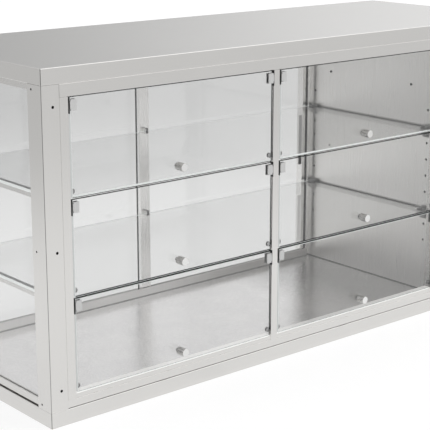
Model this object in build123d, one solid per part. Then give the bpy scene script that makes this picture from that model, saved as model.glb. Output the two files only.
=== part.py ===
from build123d import *
import os

# Refrigerated display case for a counter, in millimetres.
# The origin is the middle of the base's underside, -Y is the front and +Z is up.

# Overall size
case_width = 1328.0
case_depth = 480.0
case_height = 660.0
machine_width = 232.0

# Sheet metal of base and cap
base_height = 30.0
cap_height = 29.5
sheet = 1.5
flange_width = 50.0
edge_round = 1.2

# Posts and front frame
post_width = 37.5
post_depth = 44.0
tube_wall = 1.5
tube_round = 1.0
stile_width = 18.5
mullion_width = 17.0
frame_depth = 24.0
upright_depth = 10.5
header_height = 23.5
sill_gap = 3.0
sill_seam = 0.8
sill_height = 13.5
lower_rail_height = 9.5
sill_recess = 1.0

# Screws in the posts
post_screw_dia = 5.5
post_screw_length = 10.0
post_screw_end = 39.0
post_screw_from_edge = 23.3
side_screw_dia = 4.2
side_screw_end = 9.0
side_screw_from_front = 30.8

# Lift-up front doors
door_rows = 3
door_glass = 6.0
door_side_gap = 3.0
door_row_gap = 2.5
glass_edge = 0.5
cut_past = 1.0
pivot_drop = 15.5
pin_dia = 4.0
pin_clearance = 0.05
pin_reach = 4.0
clip_width = 12.0
clip_height = 20.0
clip_cheek = 2.5
clip_boss_height = 13.0
bearing_thick = 1.5
bearing_gap = 0.3
bearing_width = 9.0
bearing_height = 30.0
knob_dia = 16.0
knob_length = 19.0
knob_rise = 26.0
washer_thick = 1.0
washer_dia = 15.0
knob_screw_dia = 4.0
knob_screw_head = 8.0
knob_screw_head_height = 2.5
knob_screw_bite = 9.0
glass_hole_play = 1.0
screw_play = 0.05
stop_dia = 10.0
stop_thick = 4.0
stop_gap = 0.3
stop_inset = 5.5
stop_rise = 13.0
stop_neck = 5.0

# Left end
end_glass_thick = 6.0
end_recess = 3.0
end_channel_width = 12.0
end_top_height = 11.5
end_glass_bite = 6.0

# Deck, ceiling and wall
deck_left = 12.0
deck_front = 26.0
skin = 1.0
wall_thick = 29.0
coil_dia = 8.0
coil_gap = 0.3
coil_runs = 6
coil_pitch = 56.0
coil_margin = 60.0

# Shelves
shelf_glass = 6.0
lower_shelf_top = 230.5
pin_pitch = 38.1
shelf_pitches = 5
hole_rows = 9
pitches_below_shelf = 2
shelf_left = 49.0
shelf_front = 32.0
shelf_wall_gap = 3.0
shelf_rear_gap = 3.0
shelf_notch_gap = 1.0
rail_width = 12.0
rail_height = 8.0
rail_foot = 12.0
clip_column = 58.0
peg_dia = 5.4
peg_hole_dia = 6.0
peg_length = 7.0
wall_clip_width = 14.0
wall_clip_reach = 22.0
wall_clip_drop = 18.0
wall_clip_lip = 4.5
wall_clip_lip_reach = 15.0
wall_clip_round = 4.0
mullion_clip_width = 7.0
mullion_clip_jaw = 3.5
mullion_clip_lip = 6.0
mullion_clip_bite = 4.0
wall_screw_height = 512.0
wall_screw_from_front = 111.0
wall_screw_dia = 5.6
wall_screw_head = 1.2

# Rear opening with two sliding glass doors
rear_skin = 1.5
jamb_width = 18.5
jamb_from_back = 41.5
rear_mullion_width = 26.0
rear_mullion_depth = 5.5
track_depth = 40.0
track_from_back = 46.0
track_floor = 3.0
track_lip_height = 22.0
track_lip_thick = 2.0
rib_height = 12.0
rib_thick = 2.0
slide_glass = 6.0
slide_lane_pitch = 14.0
slide_lane_from_lip = 12.5
slide_overlap = 13.0
slide_play = 0.3
slide_side_gap = 1.0
slide_travel = 490.0
channel_height = 10.0
channel_wall = 2.0
top_track_height = 23.5
top_rib_drop = 16.0
top_glass_gap = 6.5
pull_thick = 5.5
pull_width = 12.0
pull_height = 120.0
pull_middle = 330.0
pull_inset = 5.0

# Machine bay
panel_thick = 2.0
louvre_height = 5.0
louvre_pitch = 16.0
louvre_rows = 14
louvre_margin = 28.0
louvre_base = 70.0
hood_reach = 4.0
hood_thick = 1.2
hood_lap = 1.0
shell_dia = 130.0
shell_height = 150.0
shell_round = 28.0
foot_length = 160.0
foot_width = 110.0
foot_thick = 3.0
grommet_dia = 20.0
grommet_height = 12.0
grommet_inset = 14.0
shell_from_back = 210.0
condenser_width = 200.0
condenser_height = 260.0
condenser_depth = 28.0
condenser_from_front = 20.0
fin_count = 25
fin_thick = 1.0
condenser_rows = 6
pipe_dia = 8.0
pipe_bend = 20.0
riser_height = 80.0
pipe_start = 29.0
fan_rise = 160.0
fan_dia = 150.0
fan_hub_dia = 36.0
fan_hub_length = 18.0
fan_blades = 5
blade_thick = 2.0
blade_width = 48.0
blade_pitch_angle = 28.0
fan_gap = 6.0
motor_dia = 70.0
motor_length = 50.0
shaft_dia = 8.0
shaft_length = 24.0
bracket_thick = 3.0
bracket_width = 90.0
bracket_foot = 40.0

# Controls on the rear panel
thermostat_from_top = 130.0
thermostat_width = 50.0
thermostat_tall = 60.0
thermostat_depth = 30.0
stem_dia = 6.0
stem_length = 18.0
stem_hole = 10.0
dial_dia = 36.0
dial_length = 14.0
dial_gap = 0.5
dial_mark = 1.5
inlet_height = 120.0
inlet_width = 28.0
inlet_tall = 20.0
inlet_depth = 24.0
inlet_rim = 6.0
inlet_rim_thick = 2.0
inlet_wall = 2.0
inlet_floor = 4.0
blade_pin_width = 4.0
blade_pin_thick = 2.0
blade_pin_length = 12.0
blade_pin_spacing = 7.0

# Case planes
left = -case_width / 2
right = case_width / 2
front = -case_depth / 2
back = case_depth / 2
bay_left = right - machine_width
bay_middle = (bay_left + right) / 2
display_middle = (left + bay_left) / 2
left_post_face = left + post_width
right_post_face = bay_left - post_width
frame_top = case_height - cap_height
opening_top = frame_top - header_height
sill_bottom = base_height + sill_gap
sill_top = sill_bottom + sill_height
opening_bottom = sill_top + lower_rail_height
row_height = (opening_top - opening_bottom) / door_rows
frame_back = front + frame_depth
wall_face = bay_left - wall_thick
deck_top = base_height + sill_gap
column_edges = [
    (left_post_face + stile_width, display_middle - mullion_width / 2),
    (display_middle + mullion_width / 2, right_post_face - stile_width),
]
column_names = ["left", "right"]
row_names = ["bottom", "middle", "top"]
upper_shelf_top = lower_shelf_top + shelf_pitches * pin_pitch
shelf_tops = [lower_shelf_top, upper_shelf_top]
track_front = back - track_from_back
track_back = track_front + track_depth
jamb_face = back - jamb_from_back
shelf_back = jamb_face - shelf_rear_gap - mullion_clip_jaw
lane_fronts = [
    track_front + track_lip_thick + slide_lane_from_lip,
    track_front + track_lip_thick + slide_lane_from_lip + slide_lane_pitch,
]
clip_columns = [front + clip_column, front + case_depth - clip_column]


# Basic shapes
def block(x0, x1, y0, y1, z0, z1):
    middle = ((x0 + x1) / 2, (y0 + y1) / 2, (z0 + z1) / 2)
    return Pos(*middle) * Box(x1 - x0, y1 - y0, z1 - z0)


def rod_x(dia, x0, x1, y, z):
    return Pos((x0 + x1) / 2, y, z) * Rot(0, 90, 0) * Cylinder(dia / 2, x1 - x0)


def rod_y(dia, x, y0, y1, z):
    return Pos(x, (y0 + y1) / 2, z) * Rot(90, 0, 0) * Cylinder(dia / 2, y1 - y0)


def rod_z(dia, x, y, z0, z1):
    return Pos(x, y, (z0 + z1) / 2) * Cylinder(dia / 2, z1 - z0)


def tube(x0, x1, y0, y1, z0, z1, run):
    """Rectangular tube with open ends and rounded corners along its run."""
    wall_x = 0 if run == Axis.X else tube_wall
    wall_z = 0 if run == Axis.Z else tube_wall
    outer = block(x0, x1, y0, y1, z0, z1)
    outer = fillet(outer.edges().filter_by(run), tube_round)
    inner = block(x0 + wall_x, x1 - wall_x, y0 + tube_wall, y1 - tube_wall, z0 + wall_z, z1 - wall_z)
    return outer - inner


def glass_pane(x0, x1, y0, y1, z0, z1):
    pane = block(x0, x1, y0, y1, z0, z1)
    return chamfer(pane.edges(), glass_edge)


def corner_notches():
    """Room for the front posts in the deck and the ceiling."""
    play = coil_gap
    back_of_post = front + post_depth + play
    left_notch = block(left, left_post_face + play, front, back_of_post, 0, case_height)
    right_notch = block(right_post_face - play, bay_left + play, front, back_of_post, 0, case_height)
    return left_notch + right_notch


# Base and cap
def folded_tray(z_plate, z_rim):
    """Sheet tray: a plate, a skirt round it and a flange turned inwards along the skirt's rim."""
    low = min(z_plate, z_rim)
    high = max(z_plate, z_rim)
    tray = block(left, right, front, back, low, high)
    tray = fillet(tray.edges().filter_by(Axis.Z), edge_round)
    outer_rims = tray.edges().filter_by(Plane.XY).group_by(Axis.Z)
    tray = fillet(outer_rims[-1] + outer_rims[0] if z_plate > z_rim else outer_rims[-1], edge_round)
    tray -= block(left + sheet, right - sheet, front + sheet, back - sheet, low + sheet, high - sheet)
    mouth_low = high - sheet if z_rim > z_plate else low
    mouth = block(
        left + flange_width, right - flange_width, front + flange_width, back - flange_width,
        mouth_low, mouth_low + sheet,
    )
    return tray - mouth


def base_pan():
    return [folded_tray(0, base_height)]


def top_cap():
    return [folded_tray(case_height, frame_top)]


def foam_insulation():
    foam_right = bay_left - skin
    base_top = base_height - coil_dia - 2 * coil_gap
    base_foam = block(left + sheet, foam_right, front + sheet, back - sheet, sheet, base_top)
    cap_foam = block(left + sheet, foam_right, front + sheet, back - sheet, frame_top + sheet, case_height - sheet)
    wall_foam = block(
        wall_face + skin, foam_right, front + post_depth, back - post_depth, deck_top, frame_top,
    )
    return [base_foam, cap_foam, wall_foam - peg_holes()]


def deck_panel():
    deck = block(left + deck_left, bay_left, front + deck_front, track_front, base_height, deck_top)
    return [deck - corner_notches()]


def ceiling_liner():
    inner = left + end_recess + end_channel_width + coil_gap
    ceiling = block(
        inner, wall_face - coil_gap, frame_back + coil_gap, track_front - coil_gap,
        frame_top - rear_skin, frame_top,
    )
    return [ceiling - corner_notches()]


def peg_holes():
    """Two columns of shelf holes in the right wall, with the screws' holes."""
    lowest = lower_shelf_top - pitches_below_shelf * pin_pitch
    holes = []
    for y in clip_columns:
        for row in range(hole_rows):
            z = lowest + row * pin_pitch
            holes.append(rod_x(peg_hole_dia, wall_face - skin, wall_face + peg_length + skin, y, z))
    for y in wall_screw_places():
        dia = side_screw_dia + 2 * screw_play
        holes.append(rod_x(dia, wall_face - skin, wall_face + post_screw_length, y, wall_screw_height))
    return Part() + holes


def wall_screw_places():
    return [front + wall_screw_from_front, back - wall_screw_from_front]


def wall_liner():
    ends = (front + post_depth, back - post_depth, deck_top, frame_top)
    inner_sheet = block(wall_face, wall_face + skin, *ends) - peg_holes()
    bay_sheet = block(bay_left - skin, bay_left, *ends)
    return [inner_sheet, bay_sheet]


# Cold coil under the deck
def evaporator_coil():
    z = base_height - coil_gap - coil_dia / 2
    y0 = -(coil_runs - 1) * coil_pitch / 2
    far = left + deck_left + coil_margin
    near = wall_face - coil_margin
    riser = bay_left + pipe_start
    bend = coil_pitch / 2
    top = base_height + riser_height
    shell_x = bay_middle - pipe_dia * 2
    shell_y = back - shell_from_back
    front_y = front + condenser_from_front + condenser_depth + coil_gap
    points = [(riser, front_y, top), (riser, y0, top), (riser, y0, z)]
    for run in range(coil_runs):
        y = y0 + run * coil_pitch
        ends = [far, near] if run % 2 else [near, far]
        first = [] if run == 0 else [(ends[0], y, z)]
        last = [] if run == coil_runs - 1 else [(ends[1], y, z)]
        points += first + last
    y_last = -y0
    points += [(riser, y_last, z), (riser, y_last, top), (shell_x, y_last, top)]
    points += [(shell_x, shell_y + shell_dia / 2 + coil_gap, top)]
    radii = []
    for index in range(1, len(points) - 1):
        turn_in_deck = abs(points[index][2] - z) < 1e-6 and points[index][0] < bay_left
        radii.append(bend - 0.01 if turn_in_deck else pipe_bend)
    return [swept_pipe(points, radii, coil_dia)]


def swept_pipe(points, radii, dia):
    """Round pipe along straight runs joined by arcs."""
    path = FilletPolyline(*points, radius=radii)
    start = Plane(origin=path @ 0, z_dir=path % 0)
    return sweep(start * Circle(dia / 2), path=path)


# Posts
def post_holes(x, outer_y, y_out, x_face, x_out, side_y):
    """Holes for a post's screws, in its front or back face and in its end face."""
    middle = (base_height + frame_top) / 2
    holes = []
    for z in (base_height + post_screw_end, middle, frame_top - post_screw_end):
        ends = sorted((outer_y + y_out, outer_y - y_out * post_screw_length))
        holes.append(rod_y(post_screw_dia, x, ends[0], ends[1], z))
    for z in (base_height + side_screw_end, middle, frame_top - side_screw_end):
        ends = sorted((x_face + x_out, x_face - x_out * post_screw_length))
        holes.append(rod_x(side_screw_dia, ends[0], ends[1], side_y, z))
    return holes


def post_screw_sets():
    left_x = left + post_screw_from_edge
    right_x = bay_left - post_screw_from_edge
    front_y = front + side_screw_from_front
    back_y = back - side_screw_from_front
    return [
        post_holes(left_x, front, -1, left, -1, front_y),
        post_holes(right_x, front, -1, bay_left, 1, front_y),
        post_holes(left_x, back, 1, left, -1, back_y),
        post_holes(right_x, back, 1, bay_left, 1, back_y),
    ]


def post(x0, y0, holes):
    shape = tube(x0, x0 + post_width, y0, y0 + post_depth, base_height, frame_top, Axis.Z)
    return shape - holes


def front_left_post():
    return [post(left, front, post_screw_sets()[0])]


def front_right_post():
    return [post(right_post_face, front, post_screw_sets()[1])]


def rear_left_post():
    shape = post(left, back - post_depth, post_screw_sets()[2])
    return [shape + jamb_lip(left_post_face, left_post_face + jamb_width)]


def rear_right_post():
    shape = post(right_post_face, back - post_depth, post_screw_sets()[3])
    return [shape + jamb_lip(right_post_face - jamb_width, right_post_face)]


def jamb_lip(x0, x1):
    low = base_height + track_lip_height + bearing_gap
    high = frame_top - top_track_height - bearing_gap
    return block(x0, x1, jamb_face, jamb_face + rear_skin, low, high)


# Front frame
def front_sill():
    sill_front = front + sill_recess
    sill = tube(left_post_face, right_post_face, sill_front, frame_back, base_height + sill_seam, sill_top, Axis.X)
    pieces = [sill]
    for x0, x1 in column_edges:
        pieces.append(tube(x0, x1, sill_front, frame_back, sill_top, opening_bottom, Axis.X))
    return pieces


def front_header():
    return [tube(left_post_face, right_post_face, front, frame_back, opening_top, frame_top, Axis.X)]


def upright(x0, x1, pin_sides):
    shape = tube(x0, x1, front, front + upright_depth, sill_top, opening_top, Axis.Z)
    for x in pin_sides:
        for z in pivot_heights():
            hole_dia = pin_dia + 2 * pin_clearance
            shape -= rod_x(hole_dia, x - pin_reach - cut_past, x + pin_reach + cut_past, pivot_y(), z)
    return shape


def pivot_heights():
    return [opening_bottom + row_height * (row + 1) - pivot_drop for row in range(door_rows)]


def pivot_y():
    return front + door_glass / 2


def front_left_stile():
    return [upright(left_post_face, column_edges[0][0], [column_edges[0][0]])]


def front_right_stile():
    return [upright(column_edges[1][1], right_post_face, [column_edges[1][1]])]


def front_mullion():
    return [upright(column_edges[0][1], column_edges[1][0], [column_edges[0][1], column_edges[1][0]])]


def frame_screws():
    """Screws sunk in the posts, and two in the right wall."""
    screws = []
    for screw_set in post_screw_sets():
        for hole in screw_set:
            box = hole.bounding_box()
            size = box.size
            middle = box.center()
            along_x = size.X > size.Y
            shift_x = sheet if along_x else 0
            shift_y = 0 if along_x else sheet
            toward_x = 1 if middle.X < display_middle else -1
            toward_y = 1 if middle.Y < 0 else -1
            screws.append(Pos(shift_x * toward_x, shift_y * toward_y, 0) * hole)
    for y in wall_screw_places():
        head = rod_x(wall_screw_dia, wall_face - wall_screw_head, wall_face, y, wall_screw_height)
        end = wall_face + post_screw_length - skin
        screws.append(head + rod_x(side_screw_dia, wall_face, end, y, wall_screw_height))
    return screws


# Doors of the front frame
def hinge_sides():
    """Each door edge of the front frame, with the direction into its opening."""
    sides = []
    for x0, x1 in column_edges:
        sides += [(x0, 1), (x1, -1)]
    return sides


def span(x, inward, near, far):
    """The two X limits of something between two distances from an opening's edge."""
    return sorted((x + inward * near, x + inward * far))


def hinge_bushings():
    pieces = []
    for x, inward in hinge_sides():
        x0, x1 = span(x, inward, 0, bearing_thick)
        for z in pivot_heights():
            y = pivot_y()
            plate = block(
                x0, x1, y - bearing_width / 2, y + bearing_width / 2,
                z - bearing_height / 2, z + bearing_height / 2,
            )
            pieces.append(plate - rod_x(pin_dia + 2 * pin_clearance, x0 - cut_past, x1 + cut_past, y, z))
    return pieces


def door_stops():
    pieces = []
    stop_y = front + door_glass + stop_gap
    for x, inward in hinge_sides():
        for row in range(door_rows):
            z = opening_bottom + row * row_height + stop_rise
            middle = x + inward * stop_inset
            disc = rod_y(stop_dia, middle, stop_y, stop_y + stop_thick, z)
            x0, x1 = span(x, inward, 0, stop_inset)
            neck = block(x0, x1, stop_y, stop_y + stop_thick, z - stop_neck / 2, z + stop_neck / 2)
            pieces.append(disc + neck)
    return pieces


def door_limits(column, row):
    """X and Z limits of a front door's glass."""
    x0, x1 = column_edges[column]
    low = opening_bottom + row * row_height + door_row_gap / 2
    high = opening_bottom + (row + 1) * row_height - door_row_gap / 2
    return x0 + door_side_gap, x1 - door_side_gap, low, high


def knob_place(column, row):
    x0, x1, low, high = door_limits(column, row)
    return (x0 + x1) / 2, opening_bottom + row * row_height + knob_rise


def front_door_glass(column, row):
    x0, x1, low, high = door_limits(column, row)
    x, z = knob_place(column, row)
    pane = glass_pane(x0, x1, front, front + door_glass, low, high)
    hole = rod_y(knob_screw_dia + 2 * glass_hole_play, x, front - cut_past, front + door_glass + cut_past, z)
    return [pane - hole]


def door_knob(column, row):
    """Turned knob, its washer and the screw that holds it through the glass."""
    x, z = knob_place(column, row)
    seat = front - washer_thick
    screw_hole = rod_y(knob_screw_dia + 2 * screw_play, x, seat - knob_screw_bite - cut_past, front, z)
    knob = rod_y(knob_dia, x, seat - knob_length, seat, z)
    rim = knob.edges().filter_by(GeomType.CIRCLE).sort_by(Axis.Y)
    knob = chamfer(rim[0], glass_edge) - screw_hole
    washer = rod_y(washer_dia, x, seat, front, z) - screw_hole
    inside = front + door_glass
    shank = rod_y(knob_screw_dia, x, seat - knob_screw_bite, inside, z)
    head = rod_y(knob_screw_head, x, inside, inside + knob_screw_head_height, z)
    return [knob, washer, shank + head]


def hinge_clips(column, row):
    """The two clips on a door's top corners, each with its pivot pin."""
    x0, x1 = column_edges[column]
    z = pivot_heights()[row]
    y = pivot_y()
    low, high = door_limits(column, row)[2:]
    pieces = []
    for x, inward in ((x0, 1), (x1, -1)):
        boss_x0, boss_x1 = span(x, inward, bearing_thick + bearing_gap, door_side_gap)
        cheek_x0, cheek_x1 = span(x, inward, door_side_gap, door_side_gap + clip_width)
        y0 = front - clip_cheek
        y1 = front + door_glass + clip_cheek
        half_boss = clip_boss_height / 2
        half_clip = clip_height / 2
        boss = block(boss_x0, boss_x1, y0, y1, z - half_boss, z + half_boss)
        jaws = block(cheek_x0, cheek_x1, y0, y1, z - half_clip, z + half_clip)
        jaws -= block(cheek_x0, cheek_x1, front, front + door_glass, z - clip_height, z + clip_height)
        pin_x0, pin_x1 = span(x, inward, -pin_reach, bearing_thick + bearing_gap)
        pieces.append(boss + jaws + rod_x(pin_dia, pin_x0, pin_x1, y, z))
    return pieces


# Left end glass
def end_channel(low, high, slot_low, slot_high):
    x0 = left + end_recess
    x1 = x0 + end_channel_width
    glass_x0 = x0 + (end_channel_width - end_glass_thick) / 2
    ends = (front + post_depth, back - post_depth)
    bar = block(x0, x1, *ends, low, high)
    return bar - block(glass_x0, glass_x0 + end_glass_thick, *ends, slot_low, slot_high)


def end_glass_channels():
    bottom = end_channel(sill_bottom, sill_top, sill_top - end_glass_bite, sill_top)
    top_low = frame_top - end_top_height
    top = end_channel(top_low, frame_top, top_low, top_low + end_glass_bite)
    return [bottom, top]


def end_glass():
    x0 = left + end_recess + (end_channel_width - end_glass_thick) / 2
    low = sill_top - end_glass_bite
    high = frame_top - end_top_height + end_glass_bite
    return [glass_pane(x0, x0 + end_glass_thick, front + post_depth, back - post_depth, low, high)]


# Shelves and what carries them
def shelf(top):
    """Glass shelf, notched at its front right corner round the post."""
    low = top - shelf_glass
    pane = glass_pane(left + shelf_left, wall_face - shelf_wall_gap, front + shelf_front, shelf_back, low, top)
    notch = block(
        right_post_face - shelf_notch_gap, bay_left, front, front + post_depth + shelf_notch_gap, low, top,
    )
    return [pane - notch]


def shelf_rails():
    pieces = []
    x0 = left + shelf_left
    y0 = front + shelf_front
    y1 = jamb_face - bearing_gap
    for top in shelf_tops:
        z1 = top - shelf_glass
        z0 = z1 - rail_height
        rail = block(x0, x0 + rail_width, y0, y1, z0, z1)
        rail += block(left_post_face, x0, y0, y0 + rail_foot, z0, z1)
        rail += block(left_post_face, x0, y1 - rail_foot, y1, z0, z1)
        pieces.append(rail)
    return pieces


def wall_clip(y, top):
    """Rounded wedge with a slot for the shelf and a peg in the wall."""
    nose = wall_face - wall_clip_reach
    seat = top - shelf_glass
    spine = wall_face - shelf_wall_gap
    outline = Plane.XZ * Polyline(
        (wall_face, seat - wall_clip_drop),
        (wall_face, top + wall_clip_lip),
        (wall_face - wall_clip_lip_reach, top + wall_clip_lip),
        (wall_face - wall_clip_lip_reach, top),
        (spine, top),
        (spine, seat),
        (nose, seat),
        (nose, seat - wall_clip_round),
        (wall_face - shelf_wall_gap, seat - wall_clip_drop),
        close=True,
    )
    wedge = Pos(0, y + wall_clip_width / 2, 0) * extrude(make_face(outline), wall_clip_width)
    return wedge + rod_x(peg_dia, wall_face, wall_face + peg_length, y, top)


def mullion_clip(top):
    """Small clip on the rear mullion that holds a shelf's back edge."""
    y1 = jamb_face
    y0 = y1 - shelf_rear_gap - mullion_clip_jaw - mullion_clip_bite
    x0 = display_middle - mullion_clip_width / 2
    x1 = display_middle + mullion_clip_width / 2
    low = top - shelf_glass - mullion_clip_jaw
    body = block(x0, x1, y0, y1, low, top + mullion_clip_lip)
    return body - block(x0, x1, y0, shelf_back, top - shelf_glass, top)


def shelf_clips():
    pieces = []
    for top in shelf_tops:
        for y in clip_columns:
            pieces.append(wall_clip(y, top))
        pieces.append(mullion_clip(top))
    return pieces


# Rear frame and sliding doors
def track_ribs(low, high):
    """Two lanes' side ribs, each a little clear of what slides in the lane."""
    ribs = Part()
    reach = channel_wall + slide_play
    for lane in lane_fronts:
        ribs += block(left_post_face, right_post_face, lane - reach - rib_thick, lane - reach, low, high)
    last = lane_fronts[-1] + slide_glass + reach
    ribs += block(left_post_face, right_post_face, last, last + rib_thick, low, high)
    return ribs


def rear_bottom_track():
    floor_top = base_height + track_floor
    x0, x1 = left_post_face, right_post_face
    track = block(x0, x1, track_front, track_back, base_height, floor_top)
    track += block(x0, x1, track_front, track_front + track_lip_thick, base_height, base_height + track_lip_height)
    return [track + track_ribs(base_height, base_height + rib_height)]


def rear_top_track():
    x0, x1 = left_post_face, right_post_face
    track = block(x0, x1, track_front, track_back, frame_top - track_floor, frame_top)
    lip_low = frame_top - top_track_height
    track += block(x0, x1, track_front, track_front + track_lip_thick, lip_low, frame_top)
    return [track + track_ribs(frame_top - top_rib_drop, frame_top)]


def rear_mullion():
    half = rear_mullion_width / 2
    low = base_height + track_floor
    high = frame_top - track_floor
    y1 = jamb_face + rear_mullion_depth
    bar = block(display_middle - half, display_middle + half, jamb_face, y1, low, high)
    return [bar]


def slide_limits(side):
    """X limits of a sliding door: 0 is the left one and 1 the right one."""
    edge_gap = slide_side_gap
    if side == 0:
        return left_post_face + edge_gap, display_middle + slide_overlap
    return display_middle - slide_overlap, right_post_face - edge_gap


def slide_lane(side):
    """The left door runs in the outer lane and the right one in the inner lane."""
    return lane_fronts[1 - side]


def slide_bottom():
    return base_height + track_floor + slide_play


def slide_door_glass(side):
    x0, x1 = slide_limits(side)
    y0 = slide_lane(side)
    low = slide_bottom() + channel_wall
    return [glass_pane(x0, x1, y0, y0 + slide_glass, low, frame_top - track_floor - top_glass_gap)]


def slide_door_hardware(side):
    """The channel under a sliding door's glass and its finger pull."""
    x0, x1 = slide_limits(side)
    y0 = slide_lane(side)
    low = slide_bottom()
    channel = block(x0, x1, y0 - channel_wall, y0 + slide_glass + channel_wall, low, low + channel_height)
    channel -= block(x0, x1, y0, y0 + slide_glass, low + channel_wall, low + channel_height)
    pull_x0 = x0 + pull_inset if side == 0 else x1 - pull_inset - pull_width
    pull_y0 = y0 + slide_glass
    half = pull_height / 2
    pull = block(
        pull_x0, pull_x0 + pull_width, pull_y0, pull_y0 + pull_thick, pull_middle - half, pull_middle + half,
    )
    pull = chamfer(pull.faces().sort_by(Axis.Y)[-1].edges(), glass_edge)
    return [channel, pull]


# Machine bay
def louvres(y0, y1):
    cuts = []
    for row in range(louvre_rows):
        z = louvre_base + row * louvre_pitch
        cuts.append(block(bay_left + louvre_margin, right - louvre_margin, y0, y1, z, z + louvre_height))
    return cuts


def louvre_hoods(face, outward):
    """Sloping hoods over the louvres, rooted in the panel above each slot and open along their lower edges."""
    width = right - bay_left - 2 * (louvre_margin - hood_lap)
    root = face - outward * panel_thick / 2
    tip = face + outward * hood_reach
    hoods = []
    for row in range(louvre_rows):
        z = louvre_base + row * louvre_pitch
        root_low = z + louvre_height + hood_lap
        outline = Polyline(
            (0, root, root_low), (0, root, root_low + 2 * hood_thick), (0, tip, z + hood_thick), (0, tip, z),
            close=True,
        )
        hood = extrude(make_face(outline), width, dir=(1, 0, 0))
        hoods.append(Pos(bay_left + louvre_margin - hood_lap, 0, 0) * hood)
    return hoods


def front_grille_panel():
    panel = block(bay_left, right, front, front + panel_thick, base_height, frame_top)
    panel -= louvres(front - cut_past, front + panel_thick + cut_past)
    return [panel + louvre_hoods(front, -1)]


def rear_grille_panel():
    inside = back - panel_thick
    panel = block(bay_left, right, inside, back, base_height, frame_top)
    panel -= louvres(inside - cut_past, back + cut_past)
    panel -= rod_y(stem_hole, bay_middle, inside - cut_past, back + cut_past, case_height - thermostat_from_top)
    half_w = inlet_width / 2
    half_h = inlet_tall / 2
    x, z = inlet_place()
    panel -= block(x - half_w, x + half_w, inside - cut_past, back + cut_past, z - half_h, z + half_h)
    return [panel + louvre_hoods(back, 1)]


def machine_side_panel():
    return [
        block(right - panel_thick, right, front + panel_thick, back - panel_thick, base_height, frame_top)
    ]


def shell_place():
    return bay_middle - pipe_dia * 2, back - shell_from_back


def compressor():
    """Sealed shell on a foot plate that stands on four rubber grommets."""
    x, y = shell_place()
    foot_low = sheet + grommet_height
    foot_high = foot_low + foot_thick
    half_l = foot_length / 2
    half_w = foot_width / 2
    shell = rod_z(shell_dia, x, y, foot_high, foot_high + shell_height)
    rims = shell.edges().filter_by(GeomType.CIRCLE)
    shell = fillet(rims, shell_round)
    foot = block(x - half_l, x + half_l, y - half_w, y + half_w, foot_low, foot_high)
    pieces = [shell + foot]
    for side_x in (-1, 1):
        for side_y in (-1, 1):
            gx = x + side_x * (half_l - grommet_inset)
            gy = y + side_y * (half_w - grommet_inset)
            pieces.append(rod_z(grommet_dia, gx, gy, sheet, foot_low))
    return pieces


def condenser_coil():
    """Finned block on the base's flange, and the pipe to it from the compressor."""
    x0 = bay_middle - condenser_width / 2
    y0 = front + condenser_from_front
    y1 = y0 + condenser_depth
    z1 = base_height + condenser_height
    fins = Part()
    step = (condenser_width - fin_thick) / (fin_count - 1)
    for index in range(fin_count):
        x = x0 + index * step
        fins += block(x, x + fin_thick, y0, y1, base_height, z1)
    row_pitch = condenser_height / condenser_rows
    for row in range(condenser_rows):
        z = base_height + (row + 0.5) * row_pitch
        fins += rod_x(pipe_dia, x0, x0 + condenser_width, (y0 + y1) / 2, z)
    shell_x, shell_y = shell_place()
    shell_top = sheet + grommet_height + foot_thick + shell_height
    pipe_z = z1 - row_pitch / 2
    points = [
        (shell_x, shell_y, shell_top + coil_gap), (shell_x, shell_y, pipe_z),
        (shell_x, y1 + coil_gap, pipe_z),
    ]
    return [fins, swept_pipe(points, [pipe_bend], pipe_dia)]


def blade_front():
    return front + condenser_from_front + condenser_depth + fan_gap


def fan_motor():
    """Motor on a bracket that stands on the base's floor."""
    y0 = blade_front() + fan_hub_length + fan_gap
    y1 = y0 + motor_length
    z = fan_rise
    shaft_y0 = y0 - shaft_length + fan_gap
    motor = rod_y(motor_dia, bay_middle, y0, y1, z) + rod_y(shaft_dia, bay_middle, shaft_y0, y0, z)
    half = bracket_width / 2
    top = z + motor_dia / 2
    plate = block(bay_middle - half, bay_middle + half, y1, y1 + bracket_thick, sheet, top)
    foot = block(bay_middle - half, bay_middle + half, y1, y1 + bracket_foot, sheet, sheet + bracket_thick)
    return [motor, plate + foot]


def fan_blade():
    """Hub with its blades, turning on the motor's shaft."""
    y0 = blade_front()
    y1 = y0 + fan_hub_length
    hub = rod_y(fan_hub_dia, bay_middle, y0, y1, fan_rise)
    reach = fan_dia / 2
    middle = (y0 + y1) / 2
    for index in range(fan_blades):
        blade = Box(blade_width * 0.6, blade_thick, reach - fan_hub_dia / 4)
        blade = Pos(0, 0, (reach + fan_hub_dia / 4) / 2) * Rot(0, 0, blade_pitch_angle) * blade
        turn = Rot(0, index * 360 / fan_blades, 0)
        hub += Pos(bay_middle, middle, fan_rise) * turn * blade
    bore = rod_y(shaft_dia + 2 * pin_clearance, bay_middle, y0 + fan_gap / 2, y1 + 1, fan_rise)
    return [hub - bore]


# Controls
def thermostat_body():
    inside = back - panel_thick
    half_w = thermostat_width / 2
    half_h = thermostat_tall / 2
    z = case_height - thermostat_from_top
    body = block(bay_middle - half_w, bay_middle + half_w, inside - thermostat_depth, inside, z - half_h, z + half_h)
    bore_dia = stem_dia + 2 * pin_clearance
    return [body - rod_y(bore_dia, bay_middle, inside - stem_length, inside + 1, z)]


def thermostat_knob():
    z = case_height - thermostat_from_top
    y0 = back + dial_gap
    y1 = y0 + dial_length
    dial = rod_y(dial_dia, bay_middle, y0, y1, z)
    dial = fillet(dial.edges().filter_by(GeomType.CIRCLE).sort_by(Axis.Y)[-1], dial_mark)
    mark = block(
        bay_middle - dial_mark / 2, bay_middle + dial_mark / 2, y1 - dial_mark, y1 + dial_mark / 2,
        z, z + dial_dia / 2 - dial_mark,
    )
    stem_end = back - panel_thick - stem_length + dial_gap
    return [dial + mark + rod_y(stem_dia, bay_middle, stem_end, y0, z)]


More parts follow.
